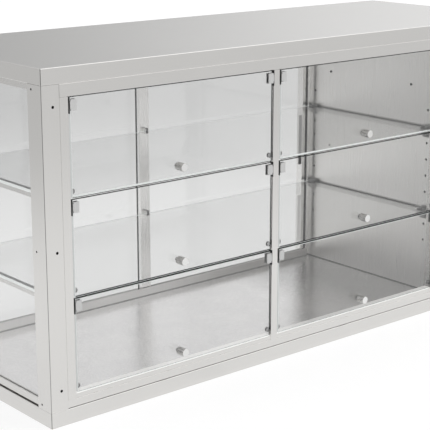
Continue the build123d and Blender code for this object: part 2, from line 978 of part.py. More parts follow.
def inlet_place():
    return bay_middle + machine_width / 4, inlet_height + louvre_base + louvre_rows * louvre_pitch


def power_inlet():
    """Recessed mains inlet with three pins."""
    x, z = inlet_place()
    half_w = inlet_width / 2
    half_h = inlet_tall / 2
    inside = back - inlet_depth
    body = block(x - half_w, x + half_w, inside, back, z - half_h, z + half_h)
    rim = block(
        x - half_w - inlet_rim, x + half_w + inlet_rim, back, back + inlet_rim_thick,
        z - half_h - inlet_rim, z + half_h + inlet_rim,
    )
    recess = block(
        x - half_w + inlet_wall, x + half_w - inlet_wall, inside + inlet_floor, back + inlet_rim_thick,
        z - half_h + inlet_wall, z + half_h - inlet_wall,
    )
    pieces = [body + rim - recess]
    for index in (-1, 0, 1):
        px = x + index * blade_pin_spacing
        pz = z + (blade_pin_width / 2 if index == 0 else -blade_pin_width / 2)
        y0 = inside + inlet_floor
        pieces.append(
            block(
                px - blade_pin_thick / 2, px + blade_pin_thick / 2, y0, y0 + blade_pin_length,
                pz - blade_pin_width / 2, pz + blade_pin_width / 2,
            )
        )
    return pieces


def save(name, pieces):
    """Write one node's pieces, each its own solid, to its STEP file."""
    solids = [solid for piece in pieces for solid in piece.solids()]
    shape = solids[0] if len(solids) == 1 else Compound(solids)
    export_step(shape, f"parts/{name}.step")


fixed_nodes = [
    base_pan, foam_insulation, deck_panel, evaporator_coil, front_left_post, front_right_post,
    rear_left_post, rear_right_post, front_sill, front_header, front_left_stile, front_right_stile,
    front_mullion, end_glass, end_glass_channels, rear_bottom_track, rear_top_track, rear_mullion,
    top_cap, ceiling_liner, wall_liner, compressor, condenser_coil, fan_motor, front_grille_panel,
    rear_grille_panel, machine_side_panel, thermostat_body, power_inlet, shelf_clips, shelf_rails,
    frame_screws, hinge_bushings, door_stops, fan_blade, thermostat_knob,
]

os.makedirs("parts", exist_ok=True)
for node in fixed_nodes:
    save(node.__name__, node())
save("lower_shelf", shelf(lower_shelf_top))
save("upper_shelf", shelf(upper_shelf_top))
for column, column_name in enumerate(column_names):
    for row, row_name in enumerate(row_names):
        place = f"{column_name}_{row_name}"
        save(f"front_door_{place}", front_door_glass(column, row))
        save(f"door_knob_{place}", door_knob(column, row))
        save(f"hinge_clips_{place}", hinge_clips(column, row))
    save(f"slide_door_{column_name}", slide_door_glass(column))
    save(f"slide_hardware_{column_name}", slide_door_hardware(column))
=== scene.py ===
import math
import bpy
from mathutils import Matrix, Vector


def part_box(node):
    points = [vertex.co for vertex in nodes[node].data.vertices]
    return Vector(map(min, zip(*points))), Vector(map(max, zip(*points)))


# Refrigerated counter display case, in metres, with -Y towards the customer and +Z up.
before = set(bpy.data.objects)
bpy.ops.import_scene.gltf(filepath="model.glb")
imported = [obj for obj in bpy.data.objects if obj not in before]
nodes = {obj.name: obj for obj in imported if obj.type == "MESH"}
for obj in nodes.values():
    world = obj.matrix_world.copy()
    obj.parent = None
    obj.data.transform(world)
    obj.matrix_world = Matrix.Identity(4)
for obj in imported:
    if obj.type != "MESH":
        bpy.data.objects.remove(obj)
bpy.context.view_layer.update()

# Where the photograph was taken from
camera_place = (-1.8686, -2.1288, 0.9856)
camera_azimuth = 40.14
camera_dip = 14.67
camera_lens = 110.2
camera_film = 36.0
camera_reach = 200.0

# Levels of the room, low down and high up, and the directions over which they change
background_level = 1.0
room_low_level = 0.44
room_right_level = 0.88
room_low_span = (-0.45, 0.2)
room_high_left_level = 0.80
room_high_level = 0.98
room_high_span = (-0.40, -0.15)
room_rise_span = (0.22, 0.34)
overhead_level = 1.0
overhead_direction = (0.62, -0.25, 0.74)
overhead_span = (0.9, 0.97)

# Floor, and how it shows in polished metal near the case and further off
floor_size = 60.0
floor_tone = 0.85
floor_shadow_tone = 0.30
floor_glow = 0.76
mirrored_floor_near = 0.715
mirrored_floor_fall = 0.26
mirrored_floor_left_fall = 0.11
mirrored_floor_span = (0.5, 3.0)
mirrored_floor_left_span = (-0.5, 3.0)

# Metal, as linear colours: the light and dark tones of each
sheet_steel = ((0.750, 0.740, 0.722), (0.712, 0.702, 0.686))
liner_steel = ((0.870, 0.860, 0.840), (0.830, 0.820, 0.800))
deck_steel = ((0.95, 0.94, 0.935), (0.87, 0.86, 0.865))
# The louvre hoods' darker tone is painted shade
louvre_shade_steel = ((0.44, 0.435, 0.425), (0.40, 0.395, 0.385))
screw_steel = ((0.55, 0.55, 0.55), (0.40, 0.40, 0.40))
light_aluminium = ((0.94, 0.93, 0.915), (0.90, 0.89, 0.875))
# The knob body's darker tone is painted shade
knob_body_shaded_aluminium = ((0.66, 0.655, 0.64), (0.52, 0.515, 0.505))
knob_end_aluminium = ((0.86, 0.855, 0.845), (0.82, 0.815, 0.805))
fin_aluminium = ((0.60, 0.61, 0.62), (0.42, 0.43, 0.44))
pipe_copper = ((0.62, 0.30, 0.17), (0.45, 0.20, 0.11))
cap_seam_tone = (0.16, 0.16, 0.155)
# The posts' dark fold line is painted shade; the cap's is the seam of its folded corner
post_fold_shade_tone = (0.30, 0.295, 0.29)
seam_width = 0.0009

# Glass: tints of what is seen through it, and the tones of its edges
slide_door_tint = (0.894, 0.896, 0.894)
top_door_tint = (0.945, 0.947, 0.945)
shelf_glass_tint = (0.965, 0.970, 0.968)
tint_inside_reflections = (0.97, 0.97, 0.97)
shaded_edge = (0.045, 0.052, 0.050)
shelf_long_edge = ((0.58, 0.60, 0.59), (0.64, 0.66, 0.65))
door_side_edge = ((0.30, 0.31, 0.305), (0.34, 0.35, 0.345))
# Painted shade on the doors' edges at the gaps
door_gap_shade = ((0.008, 0.010, 0.009), (0.014, 0.016, 0.015))
door_bottom_edge = ((0.16, 0.17, 0.165), (0.20, 0.21, 0.205))
# Painted shade on the shelves' right ends at the wall
shelf_end_shade = ((0.12, 0.13, 0.125), (0.16, 0.17, 0.165))

# Painted light: a weak glow of the bright edges, which stands for the light they gather
glass_glow_tone = (0.97, 1.0, 0.99)
shelf_edge_glow = 0.50
door_side_glow = 0.42
door_bottom_glow = 0.85
lip_glow_tone = (1.0, 1.0, 0.99)
lip_glow = 0.3

# Plastic, rubber, paint and foam: the two tones of each
black_plastic = ((0.012, 0.012, 0.013), (0.025, 0.025, 0.026))
frosted_plastic = ((0.58, 0.58, 0.575), (0.62, 0.62, 0.615))
clip_plastic = ((0.58, 0.58, 0.575), (0.64, 0.64, 0.635))
smoky_plastic_tint = ((0.42, 0.425, 0.425), (0.46, 0.46, 0.46))
# The stops' dark rim is painted shade
stop_rim_shade = ((0.05, 0.05, 0.05), (0.08, 0.08, 0.08))
washer_rubber = ((0.015, 0.015, 0.015), (0.03, 0.03, 0.03))
black_screw = ((0.004, 0.004, 0.004), (0.008, 0.008, 0.008))
compressor_paint = ((0.012, 0.012, 0.013), (0.03, 0.03, 0.03))
# Also painted shade on the foam in the wall's shelf holes
fan_plastic_and_hole_shade = ((0.02, 0.02, 0.022), (0.04, 0.04, 0.042))
motor_paint = ((0.10, 0.10, 0.11), (0.16, 0.16, 0.17))
rigid_foam = ((0.75, 0.66, 0.42), (0.80, 0.72, 0.50))

# Brushing, as the noise's scale along each axis
along_x = (6.0, 900.0, 900.0)
along_y = (900.0, 6.0, 900.0)
along_z = (900.0, 900.0, 6.0)

# The middle of a noise's range
noise_low = 0.3
noise_high = 0.7

# How far a normal must lean to an axis to choose a flat face with its chamfers, with some, or alone
with_chamfers = 0.5
squarely = 0.8
flat_alone = 0.9

# Places on the case that the materials follow
case_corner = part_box("top_cap")[1]
deck_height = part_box("deck_panel")[1].z
wall_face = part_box("wall_liner")[0].x
wall_depth = 0.026
track_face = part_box("rear_bottom_track")[0].y
track_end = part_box("rear_bottom_track")[1].x
sill_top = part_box("front_sill")[1].z
shelf_heights = [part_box(name)[1].z for name in ("lower_shelf", "upper_shelf")]
front_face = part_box("front_door_left_top")[0].y
mullion_left, mullion_right = (corner.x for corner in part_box("rear_mullion"))

door_rows = ("bottom", "middle", "top")
door_places = [f"{column}_{row}" for column in ("left", "right") for row in door_rows]

# Sockets of the Mix node for colours, which share their names with those for numbers
first_colour, last_colour, mixed_colour = 6, 7, 2


# Shader groups
def new_group(name, inputs, outputs):
    """Empty node group with its named sockets, and its two end nodes."""
    group = bpy.data.node_groups.new(name, "ShaderNodeTree")
    for label, kind, value in inputs:
        socket = group.interface.new_socket(name=label, in_out="INPUT", socket_type=kind)
        socket.default_value = value
    for label in outputs:
        group.interface.new_socket(name=label, in_out="OUTPUT", socket_type="NodeSocketFloat")
    start = group.nodes.new("NodeGroupInput")
    end = group.nodes.new("NodeGroupOutput")
    return group, start, end


def maths(tree, operation, first, second=None):
    """One Math node on sockets or plain numbers."""
    node = tree.nodes.new("ShaderNodeMath")
    node.operation = operation
    for socket, value in zip(node.inputs, (first, second)):
        if value is None:
            continue
        if isinstance(value, (int, float)):
            socket.default_value = value
        else:
            tree.links.new(value, socket)
    return node.outputs[0]


def along(tree, vector, direction):
    """How far a vector reaches along a direction, which is a socket or three numbers."""
    node = tree.nodes.new("ShaderNodeVectorMath")
    node.operation = "DOT_PRODUCT"
    tree.links.new(vector, node.inputs[0])
    if isinstance(direction, bpy.types.NodeSocket):
        tree.links.new(direction, node.inputs[1])
    else:
        node.inputs[1].default_value = direction
    return node.outputs["Value"]


def split(tree, vector):
    node = tree.nodes.new("ShaderNodeSeparateXYZ")
    tree.links.new(vector, node.inputs[0])
    return node.outputs


def held_to_one(tree, value):
    """A value kept between 0 and 1."""
    return maths(tree, "MINIMUM", maths(tree, "MAXIMUM", value, 0.0), 1.0)


def fading(tree, past, width):
    """1 at an edge and 0 a width past it, on one slope that runs on both ways."""
    return maths(tree, "SUBTRACT", 1.0, maths(tree, "DIVIDE", past, width))


def brushed_grain_group():
    """Fine scratches stretched along one direction, and a slow cloud over the sheet."""
    group, start, end = new_group(
        "Brushed grain",
        [("Stretch", "NodeSocketVector", (1.0, 1.0, 1.0)), ("Cloud Scale", "NodeSocketFloat", 2.0)],
        ["Grain", "Cloud"],
    )
    place = group.nodes.new("ShaderNodeTexCoord")
    stretch = group.nodes.new("ShaderNodeVectorMath")
    stretch.operation = "MULTIPLY"
    scratches = group.nodes.new("ShaderNodeTexNoise")
    scratches.inputs["Scale"].default_value = 1.0
    scratches.inputs["Detail"].default_value = 5.0
    scratches.inputs["Roughness"].default_value = 0.65
    cloud = group.nodes.new("ShaderNodeTexNoise")
    cloud.inputs["Detail"].default_value = 2.0
    link = group.links.new
    link(place.outputs["Object"], stretch.inputs[0])
    link(start.outputs["Stretch"], stretch.inputs[1])
    link(stretch.outputs["Vector"], scratches.inputs["Vector"])
    link(place.outputs["Object"], cloud.inputs["Vector"])
    link(start.outputs["Cloud Scale"], cloud.inputs["Scale"])
    link(scratches.outputs["Fac"], end.inputs["Grain"])
    link(cloud.outputs["Fac"], end.inputs["Cloud"])
    return group


def pane_edge_group():
    """1 on a pane's narrow edges and past its rims, where painted shade shows dark through its face, and
    a smudge.
    """
    group, start, end = new_group(
        "Pane edge",
        [
            ("Face Axis", "NodeSocketVector", (0.0, 1.0, 0.0)),
            ("Low Rim", "NodeSocketFloat", -1.0),
            ("High Rim", "NodeSocketFloat", 10.0),
        ],
        ["Edge", "Smudge"],
    )
    place = group.nodes.new("ShaderNodeTexCoord")
    smudge = group.nodes.new("ShaderNodeTexNoise")
    smudge.inputs["Scale"].default_value = 6.0
    smudge.inputs["Detail"].default_value = 3.0
    link = group.links.new
    link(place.outputs["Object"], smudge.inputs["Vector"])
    facing = along(group, place.outputs["Normal"], start.outputs["Face Axis"])
    edge = maths(group, "LESS_THAN", maths(group, "ABSOLUTE", facing), flat_alone)
    height = split(group, place.outputs["Object"])["Z"]
    low = maths(group, "LESS_THAN", height, start.outputs["Low Rim"])
    high = maths(group, "GREATER_THAN", height, start.outputs["High Rim"])
    link(maths(group, "MAXIMUM", edge, maths(group, "MAXIMUM", low, high)), end.inputs["Edge"])
    link(smudge.outputs["Fac"], end.inputs["Smudge"])
    return group


def corner_seam_and_fold_shade_group():
    """1 on the fold down each outer corner of the case: dark on the sheet's corner seams, and painted
    shade down the posts' folds.
    """
    group, start, end = new_group(
        "Corner seam and fold shade",
        [
            ("Half Width", "NodeSocketFloat", case_corner.x),
            ("Half Depth", "NodeSocketFloat", case_corner.y),
            ("Seam", "NodeSocketFloat", seam_width),
        ],
        ["Seam"],
    )
    place = group.nodes.new("ShaderNodeTexCoord")
    axes = split(group, place.outputs["Object"])
    near = []
    for axis, half in (("X", "Half Width"), ("Y", "Half Depth")):
        inset = maths(group, "SUBTRACT", start.outputs[half], maths(group, "ABSOLUTE", axes[axis]))
        near.append(maths(group, "LESS_THAN", inset, start.outputs["Seam"]))
    group.links.new(maths(group, "MULTIPLY", *near), end.inputs["Seam"])
    return group


def band_shade_group():
    """1 in a band round one place along an axis, fading to 0 past its soft edge."""
    group, start, end = new_group(
        "Band shade",
        [
            ("Axis", "NodeSocketVector", (0.0, 0.0, 1.0)),
            ("Middle", "NodeSocketFloat", 0.0),
            ("Half Band", "NodeSocketFloat", 0.008),
            ("Soft Edge", "NodeSocketFloat", 0.003),
        ],
        ["Shade"],
    )
    place = group.nodes.new("ShaderNodeTexCoord")
    reach = along(group, place.outputs["Object"], start.outputs["Axis"])
    away = maths(group, "ABSOLUTE", maths(group, "SUBTRACT", reach, start.outputs["Middle"]))
    past = maths(group, "SUBTRACT", away, start.outputs["Half Band"])
    shade = held_to_one(group, fading(group, past, start.outputs["Soft Edge"]))
    group.links.new(shade, end.inputs["Shade"])
    return group


def deck_corner_shade_group():
    """Painted shade: 1 where the deck meets the wall and the rear track, fading over the deck."""
    group, start, end = new_group(
        "Deck corner shade",
        [
            ("Wall Face", "NodeSocketFloat", wall_face),
            ("Wall Flat", "NodeSocketFloat", 0.12),
            ("Wall Fade", "NodeSocketFloat", 0.18),
            ("Track Face", "NodeSocketFloat", track_face),
            ("Track Flat", "NodeSocketFloat", 0.0),
            ("Track Fade", "NodeSocketFloat", 0.006),
        ],
        ["Shade"],
    )
    place = group.nodes.new("ShaderNodeTexCoord")
    axes = split(group, place.outputs["Object"])
    near = []
    for axis, side in (("X", "Wall"), ("Y", "Track")):
        away = maths(group, "SUBTRACT", start.outputs[f"{side} Face"], axes[axis])
        past = maths(group, "SUBTRACT", away, start.outputs[f"{side} Flat"])
        near.append(fading(group, past, start.outputs[f"{side} Fade"]))
    group.links.new(held_to_one(group, maths(group, "MAXIMUM", *near)), end.inputs["Shade"])
    return group


grain = brushed_grain_group()
pane_edge = pane_edge_group()
corner_seam_and_fold_shade = corner_seam_and_fold_shade_group()
band_shade = band_shade_group()
deck_corner_shade = deck_corner_shade_group()


# Tools for materials
def shader_of(material):
    return material.node_tree.nodes["Principled BSDF"]


def new_material(name):
    material = bpy.data.materials.new(name)
    material.use_nodes = True
    return material, material.node_tree, shader_of(material)


def place_group(tree, group, **values):
    node = tree.nodes.new("ShaderNodeGroup")
    node.node_tree = group
    for label, value in values.items():
        node.inputs[label.replace("_", " ")].default_value = value
    return node


def mix_colours(tree, factor, first, last, blend="MIX"):
    """Colour between two by a 0 to 1 value, where each is a socket or three numbers."""
    mix = tree.nodes.new("ShaderNodeMix")
    mix.data_type = "RGBA"
    mix.blend_type = blend
    tree.links.new(factor, mix.inputs["Factor"])
    for index, colour in ((first_colour, first), (last_colour, last)):
        if isinstance(colour, bpy.types.NodeSocket):
            tree.links.new(colour, mix.inputs[index])
        else:
            mix.inputs[index].default_value = (*colour, 1.0)
    return mix.outputs[mixed_colour]


def value_range(tree, value, low, high):
    """Stretches the middle of a noise's range to two chosen values."""
    spread = tree.nodes.new("ShaderNodeMapRange")
    spread.inputs["From Min"].default_value = noise_low
    spread.inputs["From Max"].default_value = noise_high
    spread.inputs["To Min"].default_value = low
    spread.inputs["To Max"].default_value = high
    tree.links.new(value, spread.inputs["Value"])
    return spread.outputs["Result"]


def raise_surface(tree, shader, height, strength, distance):
    raised = tree.nodes.new("ShaderNodeBump")
    raised.inputs["Strength"].default_value = strength
    raised.inputs["Distance"].default_value = distance
    tree.links.new(height, raised.inputs["Height"])
    tree.links.new(raised.outputs["Normal"], shader.inputs["Normal"])


def darken(material, mask, strength):
    """Darkens a material's colour where a mask is 1, by a share of it."""
    tree = material.node_tree
    colour = shader_of(material).inputs["Base Color"]
    share = maths(tree, "MULTIPLY", mask, strength)
    darker = mix_colours(tree, share, colour.links[0].from_socket, (0.0, 0.0, 0.0), blend="MULTIPLY")
    tree.links.new(darker, colour)


def darken_band(material, strength, **band):
    place = place_group(material.node_tree, band_shade, **band)
    darken(material, place.outputs["Shade"], strength)


def glow(material, tone, level):
    """Lets a bright edge shine weakly by itself, as painted light."""
    shader = shader_of(material)
    shader.inputs["Emission Color"].default_value = (*tone, 1.0)
    shader.inputs["Emission Strength"].default_value = level


# Materials
def brushed_steel(name, stretch, tones, roughness, bump=0.03, cloud=2.5, seam_and_fold_shade_tone=None):
    """Brushed or ground metal, with a dark line at the case's corners where it has a seam and fold shade
    tone: a seam on the cap and the base pan, painted shade down the posts' folds.
    """
    material, tree, shader = new_material(name)
    light, dark = tones
    marks = place_group(tree, grain, Stretch=stretch, Cloud_Scale=cloud)
    streaks = value_range(tree, marks.outputs["Grain"], 0.0, 0.5)
    clouds = value_range(tree, marks.outputs["Cloud"], 0.0, 0.5)
    tone = mix_colours(tree, maths(tree, "ADD", streaks, clouds), dark, light)
    if seam_and_fold_shade_tone:
        fold = place_group(tree, corner_seam_and_fold_shade)
        tone = mix_colours(tree, fold.outputs["Seam"], tone, seam_and_fold_shade_tone)
    tree.links.new(tone, shader.inputs["Base Color"])
    tree.links.new(value_range(tree, marks.outputs["Grain"], *roughness), shader.inputs["Roughness"])
    raise_surface(tree, shader, marks.outputs["Grain"], bump, distance=0.0004)
    shader.inputs["Metallic"].default_value = 1.0
    return material


def pane_glass(name, face_axis, tint, **rims):
    """Clear pane, tinted when looked through and clearer in reflections, with painted shade on its edges.
    """
    material, tree, shader = new_material(name)
    marks = place_group(tree, pane_edge, Face_Axis=face_axis, **rims)
    path = tree.nodes.new("ShaderNodeLightPath")
    bounces = maths(tree, "MAXIMUM", path.outputs["Glossy Depth"], path.outputs["Diffuse Depth"])
    colour = mix_colours(tree, maths(tree, "MINIMUM", bounces, 1.0), tint, tint_inside_reflections)
    colour = mix_colours(tree, marks.outputs["Edge"], colour, shaded_edge)
    tree.links.new(colour, shader.inputs["Base Color"])
    tree.links.new(value_range(tree, marks.outputs["Smudge"], 0.0, 0.02), shader.inputs["Roughness"])
    shader.inputs["Transmission Weight"].default_value = 1.0
    shader.inputs["IOR"].default_value = 1.5
    return material


def smoky_plastic(name):
    """Moulded plastic that the light shines through."""
    material, tree, shader = new_material(name)
    marks = place_group(tree, grain, Stretch=(60.0, 60.0, 60.0), Cloud_Scale=30.0)
    tint = mix_colours(tree, marks.outputs["Cloud"], *smoky_plastic_tint)
    tree.links.new(tint, shader.inputs["Base Color"])
    tree.links.new(value_range(tree, marks.outputs["Grain"], 0.02, 0.08), shader.inputs["Roughness"])
    shader.inputs["Transmission Weight"].default_value = 1.0
    shader.inputs["IOR"].default_value = 1.49
    return material


def solid_finish(name, tones, roughness, bump=0.1):
    """Moulded plastic, rubber, paint, foam or ground glass with a fine speckle."""
    material, tree, shader = new_material(name)
    marks = place_group(tree, grain, Stretch=(220.0, 220.0, 220.0), Cloud_Scale=8.0)
    tree.links.new(mix_colours(tree, marks.outputs["Cloud"], *tones), shader.inputs["Base Color"])
    tree.links.new(value_range(tree, marks.outputs["Grain"], *roughness), shader.inputs["Roughness"])
    raise_surface(tree, shader, marks.outputs["Grain"], bump, distance=0.0003)
    return material


def dress(material, *names):
    for name in names:
        slots = nodes[name].data.materials
        slots.clear()
        slots.append(material)


def dress_part(name, material, chosen):
    """Gives another material to the faces of a node that a test on their middle and normal chooses."""
    mesh = nodes[name].data
    mesh.materials.append(material)
    index = len(mesh.materials) - 1
    for face in mesh.polygons:
        if chosen(face.center, face.normal):
            face.material_index = index


# Outer sheet metal
def dress_casing():
    fine = (0.16, 0.24)
    case = brushed_steel("case steel", along_x, sheet_steel, roughness=fine, seam_and_fold_shade_tone=cap_seam_tone)
    upright = brushed_steel("post steel", along_z, sheet_steel, roughness=fine, seam_and_fold_shade_tone=post_fold_shade_tone)
    dress(case, "base_pan", "top_cap", "front_header", "front_sill", "machine_side_panel")
    dress(case, "front_grille_panel", "rear_grille_panel")
    dress(upright, "front_left_post", "front_right_post", "rear_left_post", "rear_right_post")
    dress(upright, "front_left_stile", "front_right_stile", "front_mullion")


def dress_louvres():
    """Duller steel on the sloping hoods over the slots, darkened with painted shade so that the slots
    read.
    """
    louvre_shade = brushed_steel("louvre shade steel", along_x, louvre_shade_steel, roughness=(0.45, 0.55))
    least, most = 0.1, 0.98
    for name, outward in (("front_grille_panel", -1.0), ("rear_grille_panel", 1.0)):
        dress_part(
            name, louvre_shade,
            lambda middle, normal: least < normal.y * outward < most and normal.z > least,
        )


def dress_sill_lip():
    """Polished edge under the bottom doors, made bright by a painted highlight that glows."""
    lip = brushed_steel("sill lip", along_x, liner_steel, roughness=(0.3, 0.4))
    glow(lip, lip_glow_tone, lip_glow)
    lip_foot = sill_top - 0.002
    dress_part("front_sill", lip, lambda middle, normal: normal.z > squarely and middle.z > lip_foot)


# Inside of the display
def dress_liner():
    """Inner wall and ceiling, with a painted shadow of each shelf along the wall, and darker along the
    deck.
    """
    liner = brushed_steel("liner steel", along_z, liner_steel, roughness=(0.26, 0.34))
    shelf_shadow_drop = 0.007
    # Painted shadow of each shelf on the wall
    for height in shelf_heights:
        darken_band(liner, strength=0.38, Middle=height - shelf_shadow_drop, Half_Band=0.0095)
    darken_band(liner, strength=0.8, Middle=deck_height, Half_Band=0.0018, Soft_Edge=0.0004)
    dress(liner, "wall_liner", "ceiling_liner")


def dress_deck():
    """Evenly ground deck, with painted shade towards the wall and the rear track."""
    even = (350.0, 350.0, 350.0)
    deck = brushed_steel("deck steel", even, deck_steel, roughness=(0.20, 0.30), bump=0.10, cloud=22.0)
    corner = place_group(deck.node_tree, deck_corner_shade)
    darken(deck, corner.outputs["Shade"], strength=0.45)
    dress(deck, "deck_panel")


def dress_rails():
    cross = brushed_steel("rail steel", along_y, sheet_steel, roughness=(0.24, 0.34))
    dress(cross, "end_glass_channels", "shelf_rails")


# Rear frame, with its tracks, jambs and pulls
def dress_tracks():
    """Rear tracks and the sliding doors' channels, with a dark line along the deck."""
    track = brushed_steel("track aluminium", along_x, light_aluminium, roughness=(0.3, 0.42))
    darken_band(track, strength=0.5, Middle=deck_height, Half_Band=0.0016, Soft_Edge=0.0004)
    dress(track, "rear_bottom_track", "rear_top_track", "slide_hardware_left", "slide_hardware_right")


def dress_rear_frame():
    """Bright metal on the rear mullion, and on the rear posts but for their backs and the left side."""
    rear = brushed_steel("rear frame steel", along_z, light_aluminium, roughness=(0.2, 0.3))
    left_skin = 0.004 - case_corner.x
    dress(rear, "rear_mullion")
    for side in ("left", "right"):
        dress_part(
            f"rear_{side}_post", rear,
            lambda middle, normal: normal.y < with_chamfers and middle.x > left_skin,
        )


def dress_wall_jamb():
    """Painted shade of the gap down the right jamb, beside the inner wall, drawn on the jamb's lip."""
    jamb_gap_shade = brushed_steel("wall gap shade steel", along_z, light_aluminium, roughness=(0.2, 0.3))
    darken_band(
        jamb_gap_shade, strength=0.95,
        Axis=(1.0, 0.0, 0.0), Middle=track_end - 0.0055, Half_Band=0.0036, Soft_Edge=0.0005,
    )
    jamb_start = track_end - 0.018
    jamb_back = track_face + 0.0065
    dress_part(
        "rear_right_post", jamb_gap_shade,
        lambda middle, normal: normal.y < -flat_alone and middle.x > jamb_start and middle.y < jamb_back,
    )


def dress_pulls():
    """Pulls of the sliding doors, and painted light on the shelf clips' sides that stand against the rear
    mullion.
    """
    pull_and_clip_side_light = brushed_steel("pull aluminium and clip side light", along_z, light_aluminium, roughness=(0.3, 0.42))
    pull_bottom = 0.2
    for side in ("left", "right"):
        dress_part(f"slide_hardware_{side}", pull_and_clip_side_light, lambda middle, normal: middle.z > pull_bottom)
    # Painted light: the clips' sides by the mullion get the bright pull metal
    dress_part(
        "shelf_clips", pull_and_clip_side_light,
        lambda middle, normal: normal.x < -with_chamfers and mullion_left < middle.x < mullion_right,
    )


# Glass
def dress_panes():
    """Glass, with painted shade on the rims where the bottom doors meet the middle ones."""
    facing_x, facing_y, facing_z = (1.0, 0.0, 0.0), (0.0, 1.0, 0.0), (0.0, 0.0, 1.0)
    low_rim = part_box("front_door_left_middle")[0].z + 0.0015
    high_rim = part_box("front_door_left_bottom")[1].z - 0.0012
    pane = pane_glass("pane glass", facing_y, slide_door_tint)
    door_panes = {
        "bottom": pane_glass("bottom door glass", facing_y, slide_door_tint, High_Rim=high_rim),
        "middle": pane_glass("middle door glass", facing_y, slide_door_tint, Low_Rim=low_rim),
        "top": pane_glass("top door glass", facing_y, top_door_tint),
    }
    dress(pane, "slide_door_left", "slide_door_right")
    for row in door_rows:
        dress(door_panes[row], f"front_door_left_{row}", f"front_door_right_{row}")
    dress(pane_glass("end glass", facing_x, slide_door_tint), "end_glass")
    dress(pane_glass("shelf glass", facing_z, shelf_glass_tint), "lower_shelf", "upper_shelf")


def dress_door_edges():
    """Left edges with a weak painted glow, painted shade on the edges at the gaps, and a painted
    highlight glowing on the bottom doors' undersides.
    """
    side_edge = solid_finish("door edge", door_side_edge, roughness=(0.3, 0.45), bump=0.03)
    glow(side_edge, glass_glow_tone, door_side_glow)
    gap_shade = solid_finish("door gap shade", door_gap_shade, roughness=(0.75, 0.85), bump=0.02)
    shader_of(gap_shade).inputs["Specular IOR Level"].default_value = 0.05
    bottom_edge = solid_finish("bottom edge", door_bottom_edge, roughness=(0.35, 0.5), bump=0.05)
    glow(bottom_edge, glass_glow_tone, door_bottom_glow)
    for place in door_places:
        door = f"front_door_{place}"
        dress_part(door, side_edge, lambda middle, normal: normal.x < -with_chamfers)
        dress_part(door, gap_shade, lambda middle, normal: normal.x > squarely or abs(normal.z) > squarely)
    for side in ("left", "right"):
        dress_part(f"front_door_{side}_bottom", bottom_edge, lambda middle, normal: normal.z < -squarely)


def dress_shelf_edges():
    """Long edges and left ends made bright by a painted glow, and right ends at the wall darkened with
    painted shade.
    """
    long_edge = solid_finish("ground glass edge", shelf_long_edge, roughness=(0.25, 0.4), bump=0.05)
    glow(long_edge, glass_glow_tone, shelf_edge_glow)
    end_shade = solid_finish("shelf end shade", shelf_end_shade, roughness=(0.15, 0.25), bump=0.02)
    for name in ("lower_shelf", "upper_shelf"):
        dress_part(
            name, long_edge,
            lambda middle, normal: abs(normal.y) > with_chamfers or normal.x < -with_chamfers,
        )
        dress_part(name, end_shade, lambda middle, normal: normal.x > squarely)


# Fittings
def dress_stops():
    # Painted shade: the dark rim stands for the shaded crescent round each stop
    rim_shade = solid_finish("stop rim shade", stop_rim_shade, roughness=(0.4, 0.55), bump=0.03)
    dress(smoky_plastic("smoky plastic"), "door_stops")
    dress_part("door_stops", rim_shade, lambda middle, normal: abs(normal.y) < with_chamfers)


def dress_clips():
    frosted = solid_finish("frosted plastic", frosted_plastic, roughness=(0.3, 0.45), bump=0.03)
    clip = solid_finish("grey clip", clip_plastic, roughness=(0.3, 0.45))
    dress(frosted, *[f"hinge_clips_{place}" for place in door_places])
    dress(clip, "shelf_clips")


def dress_black_fittings():
    black = solid_finish("black plastic", black_plastic, roughness=(0.35, 0.5))
    screw = solid_finish("black screw", black_screw, roughness=(0.5, 0.7))
    shader_of(screw).inputs["Specular IOR Level"].default_value = 0.1
    dress(black, "hinge_bushings", "thermostat_body", "thermostat_knob", "power_inlet")
    dress(screw, "frame_screws")


def dress_knobs():
    """Turned knob with a bright end and a body darkened with painted shade, a rubber washer against the
    glass and a bolt behind it.
    """
    turned = brushed_steel("knob body shaded aluminium", (400.0, 30.0, 400.0), knob_body_shaded_aluminium, roughness=(0.2, 0.35))
    knob_end = brushed_steel("knob end", (400.0, 400.0, 400.0), knob_end_aluminium, roughness=(0.25, 0.4))
    bolt = brushed_steel("screw steel", (300.0, 300.0, 300.0), screw_steel, roughness=(0.25, 0.4))
    rubber = solid_finish("washer rubber", washer_rubber, roughness=(0.6, 0.8))
    glass_skin = 0.00001
    washer_front = front_face - 0.00101
    end_back = front_face - 0.015
    for place in door_places:
        knob = f"door_knob_{place}"
        dress(turned, knob)
        dress_part(knob, rubber, lambda middle, normal: washer_front < middle.y < front_face - glass_skin)
        dress_part(knob, bolt, lambda middle, normal: middle.y >= front_face)
        dress_part(knob, knob_end, lambda middle, normal: normal.y < -flat_alone and middle.y < end_back)


# Machine bay
def dress_machine():
    copper = brushed_steel("copper pipe", (90.0, 90.0, 90.0), pipe_copper, roughness=(0.25, 0.45))
    fins = brushed_steel("condenser fins", (50.0, 50.0, 400.0), fin_aluminium, roughness=(0.35, 0.5))
    dress(copper, "evaporator_coil")
    dress(fins, "condenser_coil")
    dress(solid_finish("compressor paint", compressor_paint, roughness=(0.3, 0.45)), "compressor")
    dress(solid_finish("motor paint", motor_paint, roughness=(0.4, 0.55)), "fan_motor")


def dress_fan_and_foam():
    """Black fan, and the fan's black on the foam as painted shade where it shows through the wall's shelf
    holes.
    """
    fan_black_and_hole_shade = solid_finish("fan plastic and hole shade", fan_plastic_and_hole_shade, roughness=(0.45, 0.6))
    foam = solid_finish("rigid foam", rigid_foam, roughness=(0.8, 0.95), bump=0.4)
    dress(fan_black_and_hole_shade, "fan_blade")
    dress(foam, "foam_insulation")
    wall_back = wall_face + wall_depth
    dress_part(
        "foam_insulation", fan_black_and_hole_shade,
        lambda middle, normal: wall_face < middle.x < wall_back and middle.z > deck_height,
    )


